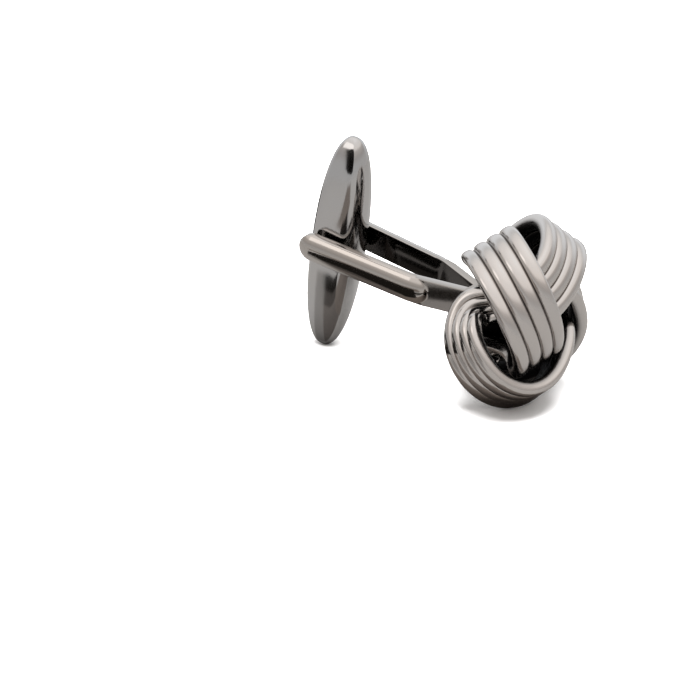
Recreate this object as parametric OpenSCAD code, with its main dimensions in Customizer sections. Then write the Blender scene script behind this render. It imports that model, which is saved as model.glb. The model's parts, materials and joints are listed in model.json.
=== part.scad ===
// A love-knot cufflink with a two-armed post and a swivelling torpedo toggle, lying at rest.
// The construction frame has its origin on the hinge, +X along the post towards the knot,
// +Y along the hinge pin and +Z along the opened toggle.

/* [Knot] */
// Distance from the hinge to the middle of the knot
knot_reach = 16.39; // [16:0.01:16.8]
// Height of the knot's middle above the post's axis
knot_rise = 0.51; // [0:0.01:1]
// Upward lean of the knot's front, in degrees
knot_lean = 5.1; // [2:0.05:8]
// Sideways turn of the knot's front away from the near arm, in degrees
knot_turn = 14.57; // [12:0.01:16]
// Turn of the knot about its own axis, in degrees
knot_spin = 38.5; // [0:0.1:90]
// Mean distance of a band from the knot's axis
band_mean_r = 4.85; // [4.8:0.01:5]
// How far a band rises where it passes over the other, and sinks where it passes under
band_weave = 1.77; // [1.72:0.01:1.82]
// How much wider the rear arcs lie than the front arcs
band_flare = 0.26; // [0.2:0.01:0.4]
// Distance from the knot's middle to the middle of the bands
band_forward = 2; // [1.8:0.01:2.2]
// Half the distance between the rear arcs and the front arcs along the axis
band_swing = 3.12; // [3:0.01:3.2]
// Lead of the rear arcs round the axis, in degrees
band_lead = 8.67; // [8:0.01:10]
// Tilt of a band's face on the rear and front arcs, in degrees
band_tilt = 13.5; // [12:0.1:15]
// Tilt of a band's face where it passes over, in degrees; it leans the other way where it passes under
band_tilt_over = 4.6; // [3:0.1:6]
// Distance between neighbouring cords of a band
cord_pitch = 1.28; // [1.25:0.01:1.29]
// Thickness of a cord
cord_d = 1.22; // [1.1:0.01:1.24]
// Share of the width that a band loses where it dives under the other
band_pinch = 0.5; // [0.4:0.01:0.55]
// Radius of the round seat inside the knot's back
seat_r = 2.55; // [2.2:0.05:2.55]
// Thickness of the seat
seat_t = 1; // [0.8:0.1:1.2]
// Outer radius of the cup that stands on the seat inside the bands
cup_r = 2.5; // [2.1:0.05:2.5]
// Depth of the cup, from the seat to its rim
cup_depth = 3.6; // [2:0.1:3.6]
// Thickness of the cup's wall
cup_wall = 0.4; // [0.3:0.05:0.6]

/* [Post] */
// Gap between the two arms at the hinge
arm_gap_hinge = 4.6; // [4.5:0.05:4.8]
// Gap between the two arms at their bend
arm_gap_bend = 3.7; // [3.6:0.05:3.9]
// Distance from the hinge to the bend
arm_bend = 8.9; // [8.8:0.05:9.3]
// Height of the arms
arm_h = 2.3; // [2.2:0.05:2.5]
// Thickness of an arm at its upper and lower edge
arm_edge_t = 0.69; // [0.6:0.01:0.8]
// Extra thickness in the middle of an arm's rounded outer face
arm_crown = 0.45; // [0.3:0.01:0.5]
// Length of an arm past the hinge
arm_tail = 1.95; // [1.8:0.05:2.1]
// Thickness of the flat bars behind the bend
neck_t = 0.85; // [0.7:0.05:0.95]
// Distance from the hinge to where the flat bars meet
neck_end = 13.4; // [13.2:0.05:13.7]

/* [Toggle] */
// Length of the toggle
toggle_l = 19.3; // [18.5:0.1:19.4]
// Width of the toggle in the plane in which it swivels
toggle_d = 4.56; // [4.3:0.02:4.9]
// Thickness of the toggle between its cheeks
toggle_t = 3.6; // [3:0.05:3.9]
// Fullness of the toggle's outline: 2 is an ellipse, more is blunter
toggle_fullness = 2.25; // [2:0.05:2.6]
// Diameter of the hinge pin
pin_d = 1.2; // [1:0.05:1.3]
// Radial clearance of the toggle on its pin
pin_clearance = 0.03; // [0.02:0.01:0.05]
// Depth of the blind pin hole in each arm
pin_socket = 0.6; // [0.4:0.05:0.65]

/* [Rest] */
// Angle by which the post dips towards the knot when the cufflink lies down, in degrees
rest_dip = 8.4; // [7:0.01:9]
// Roll of the post about its own axis when the cufflink lies down, in degrees
rest_roll = 1.75; // [0:0.01:3]
// Place of the hinge along X, with the origin under the middle of the whole
hinge_x = -10.297; // [-12:0.001:-9]
// Place of the hinge along Y
hinge_y = -0.379; // [-1:0.001:1]
// Height of the hinge above the ground
hinge_z = 9.542; // [9:0.001:10]

/* [Hidden] */
round_fn = 64;
steel = "#8f8a86";
dark_steel = "#6f6b69";

// Small corrections that shape the arcs between the crossings
weave_trim = 0.33;
flare_trim = 0.55;
reach_over = 0.35;
reach_trim = 0.5;
lead_over = 1.19;
lead_trim = 3.11;
// Where along a quarter of the band the pinch is strongest, in degrees
pinch_at = 74;
// Steps along a closed band
band_steps = 90;
// Share of a cord's radius at the crest, the crest's half-width and the groove between cords
crest_share = 0.95;
crest_half_share = 0.4;
groove_share = 0.45;
// Overlap of the flat bars with the arms and with the knot's seat, half the gap between their inner
// faces where they meet, and the solid block there
bar_start = 0.25;
neck_overlap = 0.5;
neck_half_gap = 0.2;
neck_block_l = 1.8;
// How far inside the gap the drill for the pin's holes starts
drill_start = 1;
// Steps along the toggle's outline and its cheeks, and how far the cheeks' curve runs past its tips
torpedo_steps = 22;
cheek_steps = 17;
cheek_past = 0.1;
// Distance from the middle of the bands back to the rear face of the seat
seat_back = 3.9;
// Offsets of the four cords across the band, in pitches
CORDS = [-1.5, -0.5, 0.5, 1.5];

// Path of a band round the knot's axis; the angle u is 0 where the band passes over
function band_r(u) = band_mean_r + band_weave * cos(2 * u) + band_flare * sin(2 * u)
    + weave_trim * cos(4 * u) + flare_trim * sin(4 * u);
function band_x(u) = band_forward + reach_over * cos(2 * u) - band_swing * sin(2 * u)
    + reach_trim * cos(4 * u);
function band_angle(u) = u + lead_over * cos(2 * u) + band_lead * sin(2 * u) - lead_trim * sin(4 * u);
function band_point(u) =
    let (a = band_angle(u), r = band_r(u))
    [band_x(u), -r * cos(a), r * sin(a)];

// Unit vectors along the band, out of its face and across it
function unit(v) = v / norm(v);
function along(u) = unit(band_point(u + 0.5) - band_point(u - 0.5));
function plain_out(u) =
    let (p = unit(band_point(u)), t = along(u))
    unit(p - (p * t) * t);
function out(u) =
    let (
        n = plain_out(u),
        b = cross(n, along(u)),
        tilt = band_tilt * sin(2 * u) + band_tilt_over * cos(2 * u)
    )
    n * cos(tilt) + b * sin(tilt);
function across(u) = cross(out(u), along(u));
function width_share(u) = 1 - band_pinch * pow(max(cos(2 * (u - pinch_at)), 0), 2);

// Outline of the ribbed band: [across, out] pairs, cord by cord, over the face and back under it
function face_points(side, k) = [
    for (c = CORDS) each concat(
        [for (s = [-1, 1]) [c * cord_pitch * k + s * crest_half_share * cord_d / 2 * sqrt(k),
            side * crest_share * cord_d / 2]],
        c == CORDS[3] ? [] : [[(c + 0.5) * cord_pitch * k, side * groove_share * cord_d / 2]])
];
function reversed(list) = [for (i = [len(list) - 1 : -1 : 0]) list[i]];
function band_outline(u) =
    let (k = width_share(u), edge = 1.5 * cord_pitch * k + cord_d / 2)
    concat([[-edge, 0]], face_points(1, k), [[edge, 0]], reversed(face_points(-1, k)));

// One closed band with four ribs, swept once round the knot
module knot_band() {
    rings = [
        for (i = [0 : band_steps - 1])
            let (u = 360 * i / band_steps, p = band_point(u), b = across(u), n = out(u))
            [for (q = band_outline(u)) p + q[0] * b + q[1] * n]
    ];
    sides = len(rings[0]);
    points = [for (ring = rings) each ring];
    faces = [
        for (i = [0 : band_steps - 1], j = [0 : sides - 1])
            let (
                i2 = (i + 1) % band_steps,
                j2 = (j + 1) % sides,
                a = i * sides + j,
                b = i * sides + j2,
                c = i2 * sides + j2,
                d = i2 * sides + j
            )
            each [[a, b, c], [a, c, d]]
    ];
    polyhedron(points, faces, convexity = 8);
}

// Places: the knot on the post, and the whole cufflink on the ground
module on_post() {
    translate([knot_reach, 0, knot_rise])
        rotate([0, 0, knot_turn])
            rotate([0, -knot_lean, 0])
                children();
}

module at_rest() {
    translate([hinge_x, hinge_y, hinge_z])
        rotate([rest_roll, rest_dip, 0])
            children();
}

module knot_band_a() {
    color(steel)
        at_rest()
            on_post()
                rotate([-knot_spin, 0, 0])
                    knot_band();
}

module knot_band_b() {
    color(steel)
        at_rest()
            on_post()
                rotate([90 - knot_spin, 0, 0])
                    knot_band();
}

// Rounded outer face of an arm: radius of the crown and the depth of its centre
crown_r = (arm_h * arm_h / 4 + arm_crown * arm_crown) / (2 * arm_crown);
crown_y = arm_edge_t + arm_crown - crown_r;
arm_slope = atan((arm_gap_hinge - arm_gap_bend) / 2 / arm_bend);
arm_end_x = arm_h / 2 - arm_tail;
arm_l = (arm_bend - arm_end_x) / cos(arm_slope);
neck_slope = atan((arm_gap_bend / 2 - neck_half_gap) / (neck_end - arm_bend));
neck_l = (neck_end - arm_bend) / cos(neck_slope) + neck_overlap;

// Section of an arm: flat inside at y = 0, crowned outside
module arm_section() {
    intersection() {
        translate([0, -arm_h / 2])
            square([arm_edge_t + arm_crown, arm_h]);
        translate([crown_y, 0])
            circle(r = crown_r, $fn = round_fn);
    }
}

// One arm with its domed end, its inner face on the plane y = 0 and its body towards +Y
module arm() {
    rotate([90, 0, 90])
        linear_extrude(arm_l)
            arm_section();
    rotate([-90, 0, 0])
        rotate([0, 0, 90])
            rotate_extrude(angle = 180, $fn = round_fn)
                intersection() {
                    translate([0, crown_y])
                        circle(r = crown_r, $fn = round_fn);
                    square([arm_h / 2, arm_edge_t + arm_crown]);
                }
}

module placed_arm() {
    translate([arm_end_x, arm_gap_hinge / 2 - arm_end_x * tan(arm_slope), 0])
        rotate([0, 0, -arm_slope])
            arm();
}

// Flat bar from the bend of one arm to the neck; it starts inside the arm
module neck_bar() {
    translate([arm_bend, arm_gap_bend / 2, -arm_h / 2])
        rotate([0, 0, -neck_slope])
            translate([-bar_start, 0, 0])
                cube([neck_l + bar_start, neck_t, arm_h]);
}

module half_fork() {
    difference() {
        union() {
            placed_arm();
            neck_bar();
        }
        translate([0, arm_gap_hinge / 2 - drill_start, 0])
            rotate([-90, 0, 0])
                cylinder(d = pin_d, h = drill_start + pin_socket, $fn = round_fn);
    }
}

// Round seat and the cup on it that closes the inside of the knot
module seat_and_cup() {
    rotate([0, 90, 0]) {
        cylinder(r = seat_r, h = seat_t, $fn = round_fn);
        difference() {
            cylinder(r = cup_r, h = seat_t + cup_depth, $fn = round_fn);
            translate([0, 0, seat_t])
                cylinder(r = cup_r - cup_wall, h = seat_t + cup_depth, $fn = round_fn);
        }
    }
}

// The two arms, the neck, the round seat and its cup, soldered into one piece
module fork() {
    color(dark_steel)
        at_rest() {
            half_fork();
            mirror([0, 1, 0])
                half_fork();
            translate([neck_end - bar_start, -neck_t, -arm_h / 2])
                cube([neck_block_l, 2 * neck_t, arm_h]);
            on_post()
                translate([band_forward - seat_back, 0, 0])
                    seat_and_cup();
        }
}

module hinge_pin() {
    color(dark_steel)
        at_rest()
            translate([0, -arm_gap_hinge / 2 - pin_socket, 0])
                rotate([-90, 0, 0])
                    cylinder(d = pin_d, h = arm_gap_hinge + 2 * pin_socket, $fn = round_fn);
}

// Half of the torpedo's outline, from tip to tip: half-width w at the middle, half-length l
function torpedo_w(share) = pow(1 - pow(abs(share), toggle_fullness), 1 / toggle_fullness);
function torpedo_side(w, l, steps) = [
    for (i = [0 : steps])
        let (share = -cos(180 * i / steps))
        [w * torpedo_w(share), l * share]
];

module torpedo() {
    rotate_extrude($fn = round_fn)
        polygon(torpedo_side(toggle_d / 2, toggle_l / 2, torpedo_steps));
}

// What lies between the two cheeks, which curve along the toggle and are flat across it
module between_cheeks() {
    side = torpedo_side(toggle_t / 2, toggle_l / 2 + cheek_past, cheek_steps);
    other_side = [for (i = [cheek_steps - 1 : -1 : 1]) [-side[i][0], side[i][1]]];
    rotate([90, 0, 90])
        translate([0, 0, -toggle_d])
            linear_extrude(2 * toggle_d)
                polygon(concat(side, other_side));
}

module toggle() {
    color(steel)
        at_rest()
            difference() {
                intersection() {
                    torpedo();
                    between_cheeks();
                }
                translate([0, -toggle_d, 0])
                    rotate([-90, 0, 0])
                        cylinder(d = pin_d + 2 * pin_clearance, h = 2 * toggle_d, $fn = round_fn);
            }
}

knot_band_a();
knot_band_b();
fork();
hinge_pin();
toggle();
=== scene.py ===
"""A love-knot cufflink in polished gunmetal, lying at rest on a white table."""
import json
import math
import bmesh
import bpy
import numpy as np
from mathutils import Matrix, Vector


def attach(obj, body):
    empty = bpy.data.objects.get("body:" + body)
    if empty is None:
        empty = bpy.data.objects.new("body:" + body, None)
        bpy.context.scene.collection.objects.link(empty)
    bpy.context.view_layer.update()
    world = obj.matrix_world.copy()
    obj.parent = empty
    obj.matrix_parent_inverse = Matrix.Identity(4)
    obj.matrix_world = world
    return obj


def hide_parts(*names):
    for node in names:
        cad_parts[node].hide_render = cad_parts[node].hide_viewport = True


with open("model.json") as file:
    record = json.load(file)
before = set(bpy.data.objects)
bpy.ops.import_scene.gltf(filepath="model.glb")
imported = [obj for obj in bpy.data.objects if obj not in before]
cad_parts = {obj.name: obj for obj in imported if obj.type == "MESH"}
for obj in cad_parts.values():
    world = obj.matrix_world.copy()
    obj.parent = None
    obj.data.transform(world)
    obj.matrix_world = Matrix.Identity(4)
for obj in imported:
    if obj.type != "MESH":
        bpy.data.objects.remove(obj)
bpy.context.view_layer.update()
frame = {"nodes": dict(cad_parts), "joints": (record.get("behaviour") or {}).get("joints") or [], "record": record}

# Millimetres and degrees below, as in the part's source; meshes are made in the post's own frame,
# with the origin on the hinge, +X towards the knot, +Y along the pin and +Z along the open toggle.
MM = 0.001
# Edges that turn by more than this stay sharp
SHARP_ANGLE = 38
# Points closer than this are welded, in the fork's solids, and at the ends of the seat and toggle
WELD = 1e-5
END_WELD = 1e-6

# Knot
KNOT_REACH = 16.39
KNOT_RISE = 0.51
KNOT_LEAN = 5.1
KNOT_TURN = 14.57
KNOT_SPIN = 38.5
BAND_MEAN_R = 4.85
BAND_WEAVE = 1.77
BAND_FLARE = 0.26
BAND_FORWARD = 2
BAND_SWING = 3.12
BAND_LEAD = 8.67
BAND_TILT = 13.5
BAND_TILT_OVER = 4.6
CORD_PITCH = 1.28
CORD_D = 1.22
BAND_PINCH = 0.5
PINCH_AT = 74
WEAVE_TRIM = 0.33
FLARE_TRIM = 0.55
REACH_OVER = 0.35
REACH_TRIM = 0.5
LEAD_OVER = 1.19
LEAD_TRIM = 3.11
CORDS = (-1.5, -0.5, 0.5, 1.5)
BAND_STEPS = 640
CORD_STEPS = 14
# Height of the bottom of a groove above the band's middle, as a share of a cord's radius, and how
# round a cord is: 1 is an ellipse, less is squarer
GROOVE_SHARE = 0.42
CORD_ROUND = 0.8
# How far up from its bottom a groove takes painted shade, as a share of a cord's radius
GROOVE_SHADE = 0.18
# How far below the band's middle the painted shade on its underside starts and is full, as shares of a
# cord's diameter
UNDER_SHADE_START = 0.0625
UNDER_SHADE_FULL = 0.375
# Half the stretch of a path, in degrees round the axis, that gives its direction
PATH_STEP = 0.5

# Post
ARM_GAP_HINGE = 4.6
ARM_GAP_BEND = 3.7
ARM_BEND = 8.9
ARM_H = 2.3
ARM_EDGE_T = 0.69
ARM_CROWN = 0.45
ARM_TAIL = 1.95
NECK_T = 0.85
NECK_END = 13.4
NECK_OVERLAP = 0.5
EDGE_ROUND = 0.07
BAR_START = 0.25
NECK_BLOCK_L = 1.8
SEAT_R = 2.55
SEAT_T = 1.0
SEAT_BACK = 3.9
CUP_R = 2.5
CUP_DEPTH = 3.6
CUP_WALL = 0.4
SEAT_ROUND = 0.2
BOWL_SHARE = 0.6
SEAT_SIDES = 96
# Half gap between the bars' inner faces where they meet, how soft the bend is, and the crown's end
NECK_HALF_GAP = 0.2
BEND_SOFT = 0.55
CROWN_PAST_BEND = 1.1
CROWN_END_SHARP = 0.8
# Half height of an arm's very end, which keeps its first section open
LEAST_HALF_H = 1e-4
CROWN_STEPS = 24
# Stations over an arm's domed tip, and the distance between those behind it
TIP_STATIONS = 16
ARM_STEP = 0.1
# Steps of a rounded edge on the bars and the seat, and on an arm
CORNER_STEPS = 4
ARM_EDGE_STEPS = 3
# How much the inner faces of the arms are darkened by painted shade, and how far past the seat's rim
# the painted shade inside the knot reaches
GAP_SHADE = 0.86
CUP_MARGIN = 0.05

# Toggle
TOGGLE_L = 19.3
TOGGLE_D = 4.56
TOGGLE_T = 3.7
# How full the outline is, 2 being an ellipse, and how sharply the cheeks turn into the round sides
TOGGLE_FULLNESS = 2.25
CHEEK_SHARP = 18
TOGGLE_RINGS = 160
TOGGLE_SIDES = 128

# Metals: main colour, colour of the warm clouds and roughness
KNOT_METAL = ((0.5, 0.485, 0.475), (0.54, 0.5, 0.47), 0.17)
POST_METAL = ((0.42, 0.4, 0.385), (0.46, 0.42, 0.385), 0.1)
TOGGLE_METAL = ((0.455, 0.46, 0.468), (0.49, 0.468, 0.452), 0.1)
# Noises, in cells to the metre, with the stretch of the scratches
CLOUD_SCALE = 260
SCRATCH_SCALE = 2600
SCRATCH_STRETCH = (1, 6, 6)
CAST_SCALE = 1500
# Bumps: strength and depth in metres
SCRATCH_BUMP = (0.03, 0.00002)
CAST_BUMP = (0.6, 0.00012)
# Least and greatest roughness, as shares of the metal's own
GLOSS_RANGE = (0.7, 1.5)
# Colour of the painted shade in grooves, under the bands and inside the knot, the share of painted
# shade above which it is dull too, and how much rougher it is at full painted shade
PAINTED_SHADE_COLOUR = (0.012, 0.011, 0.011)
DULL_FROM = 0.9
DULL_ROUGH = 0.4

# Camera: direction from the hinge in the post's frame, and where its axis meets the 700 px picture
CAMERA_AZ = 31.71
CAMERA_EL = 26.63
CAMERA_ROLL = 8.47
CAMERA_BEHIND = 0.3
CAMERA_DISTANCE = 505.64
FOCAL_PX = 6100
PICTURE_PX = 700
AXIS_PX = (336.38, 239.36)
SENSOR = 36
CLIP_RANGE = (0.01, 10)

# Light: the tent's colours by height, where 0 is straight down, 0.5 the horizon and 1 straight up,
# on the camera's side and on the far side, and the direction of the far side
TENT_STRENGTH = 1.5
FRONT_STOPS = (
    (0.3, (0.46, 0.455, 0.45)), (0.49, (0.44, 0.435, 0.43)), (0.56, (0.38, 0.365, 0.355)),
    (0.66, (0.46, 0.435, 0.415)), (0.77, (0.82, 0.785, 0.76)), (0.9, (0.84, 0.82, 0.805)),
    (0.97, (0.93, 0.905, 0.89)), (1.0, (0.95, 0.95, 0.95)),
)
BACK_STOPS = (
    (0.3, (0.46, 0.46, 0.46)), (0.49, (0.5, 0.5, 0.51)), (0.55, (0.7, 0.72, 0.74)),
    (0.66, (0.74, 0.77, 0.8)), (0.77, (0.6, 0.61, 0.62)), (0.9, (0.82, 0.81, 0.8)),
    (1.0, (0.95, 0.95, 0.95)),
)
FAR_SIDE = (-0.559, 0.829, 0)
FAR_SIDE_RANGE = (0.2, 0.8)
# Overhead panel that lights the table alone: middle, size and power in watts
PANEL = ((40, -40, 300), 250, 2.7)
# The table: its width in metres and colour
TABLE = (3, (0.92, 0.92, 0.92))
# A darker copy of the table, the only one that mirrors in the metal, as painted shade of the table round
# the part: its radius, height, colour and number of sides
SHADED_MIRROR_TABLE = (100, 0.01, (0.195, 0.191, 0.187), 96)
# Roughness of the table and the cards, and their colours
MATT = 0.8
BLACK = (0.005, 0.0045, 0.004)
BROWN = (0.08, 0.07, 0.063)
DIM = (0.033, 0.03, 0.028)
FADED = (0.068, 0.062, 0.058)
GREY = (0.115, 0.113, 0.112)
SOFT = (0.12, 0.116, 0.112)
GLOW = (1, 0.96, 0.93)
# Cards that only mirror in the metal: height, corners and colour. Those at table height are painted
# shade of the table round the part
CARDS = {
    "dark_arm_card": (
        5,
        ((-15.6, -10.6), (-14.4, -7.6), (-3, -4.2), (-0.7, -4.8), (-0.7, -20), (-12.8, -19), (-14, -16)),
        BLACK,
    ),
    "dark_bar_card": (5, ((-1, -7.5), (4.5, -5.5), (5, -7.6), (-1, -9.7)), BLACK),
    "dim_bar_card": (0.1, ((-5, -28), (8, -28), (8, -11), (-5, -11)), GREY),
    "soft_toggle_card": (
        0.05,
        ((-20.3, -13.3), (-17.8, -9.3), (-15.9, -6.3), (-12.4, -0.8), (-7, -0.8), (-7, -13.3)),
        SOFT,
    ),
    "dark_toggle_card": (0.1, ((-18.9, -13.3), (-16.5, -9.5), (-7, -9.5), (-7, -13.3)), BLACK),
    "dim_toggle_card": (0.1, ((-16.5, -9.5), (-14.7, -6.5), (-7, -6.5), (-7, -9.5)), DIM),
    "faded_toggle_card": (0.1, ((-14.7, -6.5), (-11.2, -0.8), (-7, -0.8), (-7, -6.5)), FADED),
    "brown_card": (0.1, ((-7, -9), (13, -9), (13, -0.5), (-7, -0.5)), BROWN),
    "brown_patch": (0.1, ((-26, -76), (14, -76), (14, -28), (-26, -28)), BROWN),
}
# Upright card that draws the toggle's dark stripe: its corners
FRONT_CARD = (
    (-12.4, -8, 20.3), (-11.5, -8, 21.2), (-8.4, -8, 21.7), (-6, -8, 20.5), (-4.8, -8, 18.4),
    (-4.9, -8, 16), (-6, -8, 15.7), (-11.2, -8, 15.7), (-12, -8, 16.2),
)
# Upright card that brightens the arm: its ends on the ground plan, low and high edge and strength
BRIGHT_CARD = ((-42, -47), (-10, -53), 36, 62, 1.9)
# Upright card that draws the toggle's far edge dark: its ends on the ground plan, low and high edge
BACK_CARD = ((-24, 2), (-20, 12), 4, 11)


def post_frame():
    """The post's frame in the part's frame, from the joint and the post's mount."""
    joint = frame["joints"][0]
    mount = next(m for m in frame["record"]["mounts"] if m["name"] == "cuff_post")
    x = -Vector(mount["axis"]).normalized()
    y = Vector(joint["axis"]).normalized()
    z = x.cross(y).normalized()
    m = Matrix((x, y, z)).transposed().to_4x4()
    m.translation = Vector(joint["pos_m"])
    return m


POST = post_frame()
IDENTITY = Matrix.Identity(4)


def rotation(axis, degrees):
    return Matrix.Rotation(math.radians(degrees), 4, axis)


ON_POST = (
    Matrix.Translation((KNOT_REACH, 0, KNOT_RISE))
    @ rotation("Z", KNOT_TURN)
    @ rotation("Y", -KNOT_LEAN)
)


def piece(name, mesh, place, body, replaced):
    """Puts a mesh made in millimetres into the part's frame and ties it to the CAD part."""
    mesh.transform(POST @ Matrix.Scale(MM, 4) @ place)
    mesh.polygons.foreach_set("use_smooth", [True] * len(mesh.polygons))
    mesh.set_sharp_from_angle(angle=math.radians(SHARP_ANGLE))
    mesh.update()
    obj = bpy.data.objects.new(name, mesh)
    bpy.context.scene.collection.objects.link(obj)
    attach(obj, body)
    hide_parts(replaced)
    return obj


def grid_mesh(name, points, closed_u):
    """A mesh over a grid of points that is closed across its rows, and along them if asked."""
    rows, cols = points.shape[:2]
    i = np.arange(rows if closed_u else rows - 1)
    a = (i[:, None] * cols + np.arange(cols)).ravel()
    b = (i[:, None] * cols + (np.arange(cols) + 1) % cols).ravel()
    step = np.repeat(np.where(i + 1 < rows, cols, cols * (1 - rows)), cols)
    faces = np.stack([a, b, b + step, a + step], 1)
    mesh = bpy.data.meshes.new(name)
    mesh.from_pydata(points.reshape(-1, 3).tolist(), [], faces.tolist())
    return mesh


def add_share(mesh, name, values):
    """Stores one number per point of the mesh for its material."""
    attribute = mesh.attributes.new(name, "FLOAT", "POINT")
    attribute.data.foreach_set("value", np.asarray(values, np.float32).ravel())


# The knot
def unit(v):
    return v / np.linalg.norm(v, axis=-1, keepdims=True)


def band_point(u):
    """Points of a band's path, at the angles u round the knot's axis."""
    c2, s2 = np.cos(np.radians(2 * u)), np.sin(np.radians(2 * u))
    c4, s4 = np.cos(np.radians(4 * u)), np.sin(np.radians(4 * u))
    r = BAND_MEAN_R + BAND_WEAVE * c2 + BAND_FLARE * s2 + WEAVE_TRIM * c4 + FLARE_TRIM * s4
    x = BAND_FORWARD + REACH_OVER * c2 - BAND_SWING * s2 + REACH_TRIM * c4
    a = np.radians(u + LEAD_OVER * c2 + BAND_LEAD * s2 - LEAD_TRIM * s4)
    return np.stack([x, -r * np.cos(a), r * np.sin(a)], -1)


def band_frames(u):
    """Points of the path, with the directions across the band and out of its face."""
    p = band_point(u)
    along = unit(band_point(u + PATH_STEP) - band_point(u - PATH_STEP))
    n = unit(p)
    n = unit(n - (n * along).sum(-1, keepdims=True) * along)
    tilt = BAND_TILT * np.sin(np.radians(2 * u)) + BAND_TILT_OVER * np.cos(np.radians(2 * u))
    tilt = np.radians(tilt)[:, None]
    out = n * np.cos(tilt) + np.cross(n, along) * np.sin(tilt)
    return p, np.cross(out, along), out


def band_outline():
    """The corded outline, over the face and back under it.

    A point's place across is a + b * k at the width share k. Gives a, b, the height and the share
    of painted shade that the point takes in a groove."""
    r, low = CORD_D / 2, math.asin(GROOVE_SHARE ** (1 / CORD_ROUND))
    wide = CORD_PITCH / 2 / math.cos(low) ** CORD_ROUND
    face = []
    for c in CORDS:
        start = 0 if c == CORDS[0] else low
        end = math.pi if c == CORDS[-1] else math.pi - low
        for i in range(CORD_STEPS + (c == CORDS[-1])):
            f = start + (end - start) * i / CORD_STEPS
            beside = math.copysign(abs(math.cos(f)) ** CORD_ROUND, -math.cos(f))
            height = math.sin(f) ** CORD_ROUND if 0 < f < math.pi else 0
            at_edge = (beside < 0 and c == CORDS[0]) or (beside > 0 and c == CORDS[-1])
            # Painted shade at the bottom of each groove, fading out up the cords' sides
            groove_shade = 0 if at_edge else max(0, 1 - (height - GROOVE_SHARE) / GROOVE_SHADE)
            face.append((
                r * beside if at_edge else 0,
                c * CORD_PITCH + (0 if at_edge else wide * beside),
                r * height,
                groove_shade,
            ))
    under = [(a, b, -h, groove_shade) for a, b, h, groove_shade in face[-2:0:-1]]
    return np.array(face + under).T


def knot_band(name, spin, replaced):
    u = np.arange(BAND_STEPS) * 360 / BAND_STEPS
    p, across, out = band_frames(u)
    k = 1 - BAND_PINCH * np.maximum(np.cos(np.radians(2 * (u - PINCH_AT))), 0) ** 2
    a, b, height, groove_shade = band_outline()
    place_across = a + b * k[:, None]
    points = (
        p[:, None]
        + place_across[..., None] * across[:, None]
        + height[None, :, None] * out[:, None]
    )
    mesh = grid_mesh(name, points, True)
    mesh.flip_normals()
    rows = (BAND_STEPS, 1)
    # Painted shade on the band's underside, growing further down
    under = np.clip((-height / CORD_D - UNDER_SHADE_START) / (UNDER_SHADE_FULL - UNDER_SHADE_START), 0, 1)
    add_share(mesh, "groove", np.tile(groove_shade, rows))
    add_share(mesh, "under", np.tile(under, rows))
    return piece(name, mesh, ON_POST @ rotation("X", spin), "head", replaced)


# The fork: solids in millimetres, joined into one closed mesh
def solid(name, bm):
    bmesh.ops.remove_doubles(bm, verts=bm.verts, dist=WELD)
    bmesh.ops.recalc_face_normals(bm, faces=bm.faces)
    mesh = bpy.data.meshes.new(name)
    bm.to_mesh(mesh)
    bm.free()
    obj = bpy.data.objects.new(name, mesh)
    bpy.context.scene.collection.objects.link(obj)
    return obj


def joined(name, solids):
    """One mesh from overlapping closed solids."""
    base = solids[0]
    for other in solids[1:]:
        cut = base.modifiers.new("join", "BOOLEAN")
        cut.operation = "UNION"
        cut.solver = "EXACT"
        cut.object = other
    bpy.context.view_layer.update()
    depsgraph = bpy.context.evaluated_depsgraph_get()
    mesh = bpy.data.meshes.new_from_object(base.evaluated_get(depsgraph))
    mesh.name = name
    for o in solids:
        bpy.data.objects.remove(o)
    return mesh


def skin(bm, rings):
    """Side faces between rings of points that follow one another."""
    sides = len(rings[0])
    for low, high in zip(rings, rings[1:]):
        for j in range(sides):
            bm.faces.new((low[j], low[(j + 1) % sides], high[(j + 1) % sides], high[j]))


def close_ends(bm, rings):
    bm.faces.new(rings[0][::-1])
    bm.faces.new(rings[-1])


def round_corner(cx, cy, r, start, steps=CORNER_STEPS):
    """Points of a quarter circle about (cx, cy), counter-clockwise from the angle start."""
    return [
        (cx + r * math.cos(math.radians(start + 90 * i / steps)),
         cy + r * math.sin(math.radians(start + 90 * i / steps)))
        for i in range(steps + 1)
    ]


def bar(name, length, low_y, high_y, place):
    """A bar along +X with rounded long edges, from low_y to high_y and as high as an arm."""
    e, h = EDGE_ROUND, ARM_H / 2
    outline = (
        round_corner(high_y - e, h - e, e, 0) + round_corner(low_y + e, h - e, e, 90)
        + round_corner(low_y + e, e - h, e, 180) + round_corner(high_y - e, e - h, e, 270)
    )
    bm = bmesh.new()
    rings = [[bm.verts.new(place @ Vector((x, y, z))) for y, z in outline] for x in (0, length)]
    skin(bm, rings)
    close_ends(bm, rings)
    return solid(name, bm)


def smooth(low, high, x):
    """A soft step from 0 at low to 1 at high."""
    t = np.clip((x - low) / (high - low), 0, 1)
    return t * t * (3 - 2 * t)


def arm_path(slope, neck_slope):
    """Stations along the inner face from the arm's tip to the neck: distance, point and heading."""
    r = ARM_H / 2
    tip = r * (1 - np.cos(np.linspace(0, math.pi / 2, TIP_STATIONS)))
    bend = ARM_TAIL + ARM_BEND
    length = bend + (NECK_END - ARM_BEND) / math.cos(math.radians(neck_slope)) + NECK_OVERLAP
    s = np.concatenate([tip[:-1], np.arange(r, length, ARM_STEP), [length]])
    heading = -np.radians(slope + (neck_slope - slope) * smooth(bend - BEND_SOFT, bend + BEND_SOFT, s))
    middle = (heading[1:] + heading[:-1]) / 2
    x = np.concatenate([[0], np.cumsum(np.diff(s) * np.cos(middle))]) - ARM_TAIL
    y = np.concatenate([[0], np.cumsum(np.diff(s) * np.sin(middle))])
    y += ARM_GAP_HINGE / 2 - np.interp(0, x, y)
    return s, x, y, heading


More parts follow.
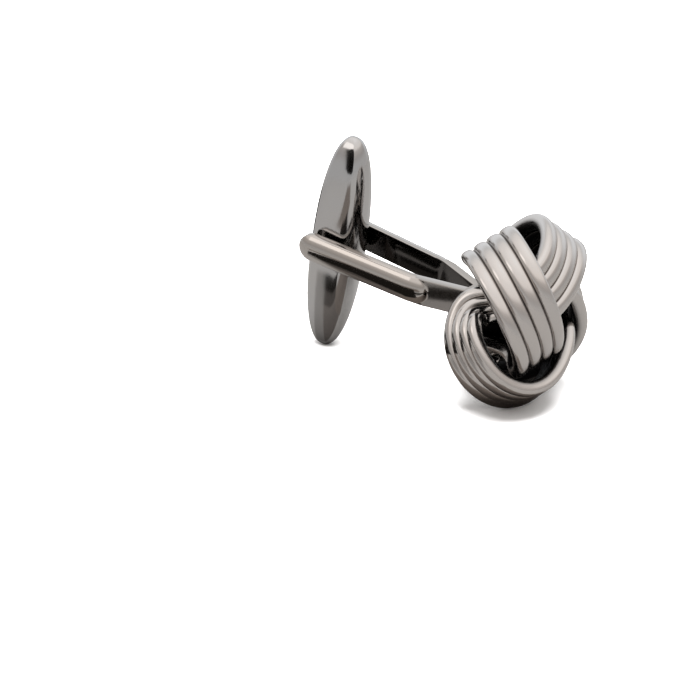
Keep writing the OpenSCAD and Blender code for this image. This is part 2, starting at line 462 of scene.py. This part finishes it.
def arm_outline(wall, half_h, from_centre):
    """An arm's section, as points (outwards, up): flat inside, rounded edges and crowned outside."""
    r = ARM_H / 2
    crown_r = (r * r + ARM_CROWN ** 2) / (2 * ARM_CROWN)
    edge = EDGE_ROUND * min(1, half_h / (2 * EDGE_ROUND))
    inside = [(wall - edge / 2, half_h)]
    inside += round_corner(edge, half_h - edge, edge, 90, ARM_EDGE_STEPS)
    inside += [(n, -z) for n, z in inside[::-1]]
    z_out = np.sin(np.linspace(1, -1, CROWN_STEPS + 1) * math.pi / 2) * (half_h - edge)
    rho = np.sqrt(z_out ** 2 + from_centre ** 2)
    crown = np.sqrt(np.maximum(crown_r ** 2 - rho ** 2, 0)) - (crown_r - ARM_CROWN)
    out = wall + np.where(rho < r, np.maximum(crown, 0), 0)
    return inside + list(zip(out[::-1], z_out[::-1]))


def arm(name, hand):
    """One arm with its flat bar, swept from the domed tip over the bend to the neck."""
    slope = math.degrees(math.atan((ARM_GAP_HINGE - ARM_GAP_BEND) / 2 / ARM_BEND))
    neck_slope = math.degrees(math.atan((ARM_GAP_BEND / 2 - NECK_HALF_GAP) / (NECK_END - ARM_BEND)))
    s, x, y, heading = arm_path(slope, neck_slope)
    r = ARM_H / 2
    crown_end = ARM_TAIL + ARM_BEND + CROWN_PAST_BEND - r
    wall = ARM_EDGE_T + (NECK_T - ARM_EDGE_T) * smooth(crown_end, crown_end + r, s)
    from_centre = np.maximum(r - s, 0)
    half_h = np.sqrt(np.maximum(r * r - from_centre ** 2, LEAST_HALF_H ** 2))
    from_centre = np.maximum(from_centre, (s - crown_end) * CROWN_END_SHARP)
    bm = bmesh.new()
    rings = []
    for i in range(len(s)):
        across = Vector((-math.sin(heading[i]), math.cos(heading[i]), 0))
        at = Vector((x[i], y[i], 0))
        ring = []
        for n, z in arm_outline(wall[i], half_h[i], from_centre[i]):
            v = at + across * n
            ring.append(bm.verts.new((v.x, v.y * hand, z)))
        rings.append(ring)
    skin(bm, rings)
    close_ends(bm, rings)
    return solid(name, bm)


def fork():
    """Both arms, the neck's block and the seat in one mesh, with the share of painted shade inside."""
    solids = [arm("near_arm", -1), arm("far_arm", 1)]
    block_at = Matrix.Translation((NECK_END - BAR_START, 0, 0))
    solids.append(bar("block", NECK_BLOCK_L, -NECK_T, NECK_T, block_at))
    solids.append(seat())
    mesh = joined("fork_post", solids)
    to_knot = (ON_POST @ Matrix.Translation((BAND_FORWARD - SEAT_BACK, 0, 0))).inverted()
    gap_line = ((0, ARM_BEND, NECK_END), (ARM_GAP_HINGE / 2, ARM_GAP_BEND / 2, NECK_HALF_GAP))
    inside = []
    for v in mesh.vertices:
        p = to_knot @ v.co
        in_cup = p.x > SEAT_T / 2 and math.hypot(p.y, p.z) < SEAT_R + CUP_MARGIN
        half_gap = np.interp(v.co.x, *gap_line)
        in_gap = v.co.x < NECK_END and abs(v.co.y) < half_gap + EDGE_ROUND / 2
        # Painted shade: full in the knot's cup, most of it on the arms' inner faces
        inside.append(1 if in_cup else GAP_SHADE if in_gap else 0)
    add_share(mesh, "inside", inside)
    return piece("fork_post", mesh, IDENTITY, "head", "fork")


def seat():
    """The round seat inside the knot's back with its rounded rim, and the cup that stands on it."""
    e, lip = SEAT_ROUND, CUP_WALL / 2
    top = SEAT_T + CUP_DEPTH
    profile = [(0, 0)]
    profile += round_corner(SEAT_R - e, e, e, 270)
    profile += round_corner(SEAT_R - e, SEAT_T - e, e, 0)
    profile += [(CUP_R, SEAT_T), (CUP_R, top - lip)]
    profile += round_corner(CUP_R - lip, top - lip, lip, 0)[1:]
    profile += round_corner(CUP_R - lip, top - lip, lip, 90)[1:]
    inner = CUP_R - CUP_WALL
    bowl = inner * BOWL_SHARE
    profile += [
        (inner - bowl * (1 - math.cos(a)), SEAT_T + bowl * (1 - math.sin(a)))
        for a in np.radians(np.arange(0, 91, 10))
    ]
    profile.append((0, SEAT_T))
    turn = [2 * math.pi * j / SEAT_SIDES for j in range(SEAT_SIDES)]
    bm = bmesh.new()
    place = ON_POST @ Matrix.Translation((BAND_FORWARD - SEAT_BACK, 0, 0))
    rings = [
        [bm.verts.new(place @ Vector((x, r * math.cos(t), r * math.sin(t)))) for t in turn]
        for r, x in profile
    ]
    skin(bm, rings)
    bmesh.ops.dissolve_degenerate(bm, dist=END_WELD, edges=bm.edges)
    return solid("seat", bm)


def toggle():
    """The torpedo: a full, smooth outline, with two cheeks that turn softly into its round sides."""
    share = -np.cos(np.linspace(0, math.pi, TOGGLE_RINGS + 1))
    width = (1 - np.abs(share) ** TOGGLE_FULLNESS) ** (1 / TOGGLE_FULLNESS)
    turn = np.linspace(0, 2 * math.pi, TOGGLE_SIDES, endpoint=False)
    side_share = (2 / TOGGLE_D) ** CHEEK_SHARP
    cheek_share = (2 / TOGGLE_T * np.abs(np.sin(turn))) ** CHEEK_SHARP
    r = (side_share + cheek_share) ** (-1 / CHEEK_SHARP)
    x = width[:, None] * r * np.cos(turn)
    y = width[:, None] * r * np.sin(turn)
    z = np.repeat(share[:, None] * TOGGLE_L / 2, TOGGLE_SIDES, 1)
    mesh = grid_mesh("toggle_torpedo", np.stack([x, y, z], -1), False)
    bm = bmesh.new()
    bm.from_mesh(mesh)
    bmesh.ops.remove_doubles(bm, verts=bm.verts, dist=END_WELD)
    bmesh.ops.recalc_face_normals(bm, faces=bm.faces)
    bm.to_mesh(mesh)
    bm.free()
    return piece("toggle_torpedo", mesh, IDENTITY, "toggle", "toggle")


# Materials
def node(tree, kind, **values):
    """A node with its sockets and settings set by name."""
    n = tree.nodes.new(kind)
    for key, value in values.items():
        if key in n.inputs:
            n.inputs[key].default_value = value
        else:
            setattr(n, key, value)
    return n


def ramp(tree, stops):
    """A colour ramp from (place, colour) stops."""
    n = tree.nodes.new("ShaderNodeValToRGB")
    n.color_ramp.interpolation = "EASE"
    while len(n.color_ramp.elements) < len(stops):
        n.color_ramp.elements.new(0.5)
    for element, (at, colour) in zip(n.color_ramp.elements, stops):
        element.position = at
        element.color = (*colour, 1)
    return n


def maths(tree, operation, a, b=None):
    n = node(tree, "ShaderNodeMath", operation=operation)
    for socket, value in zip(n.inputs, (a, b)):
        if isinstance(value, (int, float)):
            socket.default_value = value
        elif value is not None:
            tree.links.new(value, socket)
    return n.outputs[0]


def noise(tree, place, scale, detail, rough):
    n = node(tree, "ShaderNodeTexNoise", Scale=scale, Detail=detail, Roughness=rough)
    tree.links.new(place, n.inputs["Vector"])
    return n.outputs[0]


def bump(tree, height, strength, depth):
    n = node(tree, "ShaderNodeBump", Strength=strength, Distance=depth)
    tree.links.new(height, n.inputs["Height"])
    return n


def mapped(tree, value, **limits):
    """The value with its range mapped to another one."""
    n = node(tree, "ShaderNodeMapRange")
    for key, limit in limits.items():
        n.inputs[key.replace("_", " ").title()].default_value = limit
    tree.links.new(value, n.inputs["Value"])
    return n.outputs[0]


def share_of(tree, name):
    """A number that the mesh stores for its material."""
    return node(tree, "ShaderNodeAttribute", attribute_name=name).outputs["Fac"]


def gunmetal(name, metal, shade_shares=(), cast_share=None):
    """Polished plating with faint warm clouds and fine scratches.

    It is darkened by painted shade and dull by the greatest of the shade shares, and as bumpy as cast
    metal by the cast share."""
    base, warm, rough = metal
    mat = bpy.data.materials.new(name)
    mat.use_nodes = True
    tree = mat.node_tree
    tree.nodes.clear()
    link = tree.links.new
    out = node(tree, "ShaderNodeOutputMaterial")
    shader = node(tree, "ShaderNodeBsdfPrincipled", Metallic=1.0)
    link(shader.outputs[0], out.inputs["Surface"])
    place = node(tree, "ShaderNodeTexCoord").outputs["Object"]
    tint = node(tree, "ShaderNodeMix", data_type="RGBA")
    tint.inputs["A"].default_value = (*base, 1)
    tint.inputs["B"].default_value = (*warm, 1)
    link(noise(tree, place, CLOUD_SCALE, 3, 0.5), tint.inputs["Factor"])
    colour = tint.outputs["Result"]
    stretch = node(tree, "ShaderNodeMapping")
    stretch.inputs["Scale"].default_value = SCRATCH_STRETCH
    link(place, stretch.inputs["Vector"])
    scratch = noise(tree, stretch.outputs[0], SCRATCH_SCALE, 4, 0.7)
    roughness = mapped(tree, scratch, to_min=rough * GLOSS_RANGE[0], to_max=rough * GLOSS_RANGE[1])
    surface = bump(tree, scratch, *SCRATCH_BUMP)
    if shade_shares:
        shares = [share_of(tree, a) for a in shade_shares]
        shade_share = shares[0] if len(shares) == 1 else maths(tree, "MAXIMUM", *shares)
        # Painted shade: the colour is mixed towards near black by the shade share
        shade_mix = node(tree, "ShaderNodeMix", data_type="RGBA")
        shade_mix.inputs["B"].default_value = (*PAINTED_SHADE_COLOUR, 1)
        link(shade_share, shade_mix.inputs["Factor"])
        link(colour, shade_mix.inputs["A"])
        colour = shade_mix.outputs["Result"]
        dull = mapped(tree, shade_share, from_min=DULL_FROM, to_min=0, to_max=DULL_ROUGH)
        roughness = maths(tree, "ADD", roughness, dull)
    if cast_share:
        casting = noise(tree, place, CAST_SCALE, 3, 0.6)
        casting = maths(tree, "MULTIPLY", casting, share_of(tree, cast_share))
        link(bump(tree, casting, *CAST_BUMP).outputs[0], surface.inputs["Normal"])
    link(colour, shader.inputs["Base Color"])
    link(roughness, shader.inputs["Roughness"])
    link(surface.outputs[0], shader.inputs["Normal"])
    return mat


def wear(obj, mat):
    obj.data.materials.clear()
    obj.data.materials.append(mat)


# Table, light and camera
def plain_material(name, colour, glow):
    mat = bpy.data.materials.new(name)
    mat.use_nodes = True
    shader = mat.node_tree.nodes["Principled BSDF"]
    shader.inputs["Base Color"].default_value = (*colour, 1)
    shader.inputs["Roughness"].default_value = MATT
    shader.inputs["Specular IOR Level"].default_value = 0
    shader.inputs["Emission Color"].default_value = (*GLOW, 1)
    shader.inputs["Emission Strength"].default_value = glow
    return mat


def only_mirrors(obj):
    """The object is seen in the metal's reflections and nowhere else."""
    for ray in ("camera", "diffuse", "shadow", "transmission", "volume_scatter"):
        setattr(obj, "visible_" + ray, False)


def table_top():
    width, white = TABLE
    bpy.ops.mesh.primitive_plane_add(size=width, location=(0, 0, 0))
    floor = bpy.context.object
    floor.name = "table"
    wear(floor, plain_material("white_table", white, 0))
    floor.visible_glossy = False
    # The table in the metal is a darker copy: painted shade of the table round the part
    radius, height, colour, sides = SHADED_MIRROR_TABLE
    bpy.ops.mesh.primitive_circle_add(
        vertices=sides, radius=radius * MM, fill_type="NGON", location=(0, 0, height * MM)
    )
    mirror = bpy.context.object
    mirror.name = "shaded_mirrored_table"
    wear(mirror, plain_material("shaded_mirrored_table", colour, 0))
    only_mirrors(mirror)


def studio_light():
    """A light tent with a bright top, a warm near side and a cooler far side."""
    world = bpy.data.worlds.new("studio")
    bpy.context.scene.world = world
    world.use_nodes = True
    tree = world.node_tree
    link = tree.links.new
    background = tree.nodes["Background"]
    way = node(tree, "ShaderNodeTexCoord").outputs["Generated"]
    parts = node(tree, "ShaderNodeSeparateXYZ")
    link(way, parts.inputs[0])
    height = mapped(tree, parts.outputs["Z"], from_min=-1)
    front = ramp(tree, FRONT_STOPS)
    back = ramp(tree, BACK_STOPS)
    link(height, front.inputs[0])
    link(height, back.inputs[0])
    far = node(tree, "ShaderNodeVectorMath", operation="DOT_PRODUCT")
    link(way, far.inputs[0])
    far.inputs[1].default_value = FAR_SIDE
    share = mapped(tree, far.outputs["Value"], from_min=FAR_SIDE_RANGE[0], from_max=FAR_SIDE_RANGE[1])
    share.node.interpolation_type = "SMOOTHSTEP"
    both = node(tree, "ShaderNodeMix", data_type="RGBA")
    link(share, both.inputs["Factor"])
    link(front.outputs[0], both.inputs["A"])
    link(back.outputs[0], both.inputs["B"])
    link(both.outputs["Result"], background.inputs["Color"])
    background.inputs["Strength"].default_value = TENT_STRENGTH


def panel_light():
    """The overhead panel, which doesn't show in the metal."""
    at, size, power = PANEL
    data = bpy.data.lights.new("panel", "AREA")
    data.shape = "DISK"
    data.size = size * MM
    data.energy = power
    panel = bpy.data.objects.new("panel", data)
    panel.location = Vector(at) * MM
    panel.rotation_euler = Vector(at).to_track_quat("Z", "Y").to_euler()
    panel.visible_glossy = False
    bpy.context.scene.collection.objects.link(panel)


def card(name, corners, colour, glow=0):
    """A flat card, with its corners in millimetres, that only mirrors in the metal."""
    mesh = bpy.data.meshes.new(name)
    mesh.from_pydata([Vector(p) * MM for p in corners], [], [range(len(corners))])
    obj = bpy.data.objects.new(name, mesh)
    bpy.context.scene.collection.objects.link(obj)
    wear(obj, plain_material(name, colour, glow))
    only_mirrors(obj)


def upright(start, end, low, high):
    """Corners of an upright card."""
    return (*start, low), (*end, low), (*end, high), (*start, high)


def cards():
    # The cards at table height are painted shade of the table, seen only in the metal
    for name, (height, corners, colour) in CARDS.items():
        card(name, [(*c, height) for c in corners], colour)
    card("dark_front_card", FRONT_CARD, BLACK)
    card("bright_card", upright(*BRIGHT_CARD[:4]), (0, 0, 0), BRIGHT_CARD[4])
    card("dark_back_card", upright(*BACK_CARD), BLACK)


def photo_camera():
    """The camera at the photo's angle, aimed so that no lens shift is needed."""
    az, el, roll = (math.radians(a) for a in (CAMERA_AZ, CAMERA_EL, CAMERA_ROLL))
    back = Vector((math.sin(az) * math.cos(el), -math.cos(az) * math.cos(el), math.sin(el)))
    right = Vector((0, 0, 1)).cross(back).normalized()
    up = back.cross(right)
    right, up = (
        right * math.cos(roll) + up * math.sin(roll),
        up * math.cos(roll) - right * math.sin(roll),
    )
    place = Vector((-CAMERA_BEHIND, 0, 0)) + back * CAMERA_DISTANCE
    aim_x = (PICTURE_PX / 2 - AXIS_PX[0]) / FOCAL_PX
    aim_y = (PICTURE_PX / 2 - AXIS_PX[1]) / FOCAL_PX
    new_back = (back - right * aim_x + up * aim_y).normalized()
    new_right = up.cross(new_back).normalized()
    new_up = new_back.cross(new_right)
    turn = Matrix((new_right, new_up, new_back)).transposed().to_4x4()
    data = bpy.data.cameras.new("camera")
    data.sensor_width = SENSOR
    data.lens = FOCAL_PX / PICTURE_PX * SENSOR * math.sqrt(1 + aim_x ** 2 + aim_y ** 2)
    data.clip_start, data.clip_end = CLIP_RANGE
    camera = bpy.data.objects.new("camera", data)
    bpy.context.scene.collection.objects.link(camera)
    world = POST.to_3x3().to_4x4() @ turn
    world.translation = POST @ (place * MM)
    camera.matrix_world = world
    bpy.context.scene.camera = camera


photo_camera()
table_top()
studio_light()
panel_light()
cards()
bpy.context.scene.view_settings.view_transform = "Standard"

# The knot takes painted shade in its grooves and on its underside, where it is also bumpy as cast metal
knot_metal = gunmetal("knot_gunmetal", KNOT_METAL, ("groove", "under"), "under")
post_metal = gunmetal("post_gunmetal", POST_METAL, ("inside",))
toggle_metal = gunmetal("toggle_gunmetal", TOGGLE_METAL)

wear(knot_band("knot_band_a_cords", -KNOT_SPIN, "knot_band_a"), knot_metal)
wear(knot_band("knot_band_b_cords", 90 - KNOT_SPIN, "knot_band_b"), knot_metal)
wear(fork(), post_metal)
wear(toggle(), toggle_metal)
wear(frame["nodes"]["hinge_pin"], post_metal)
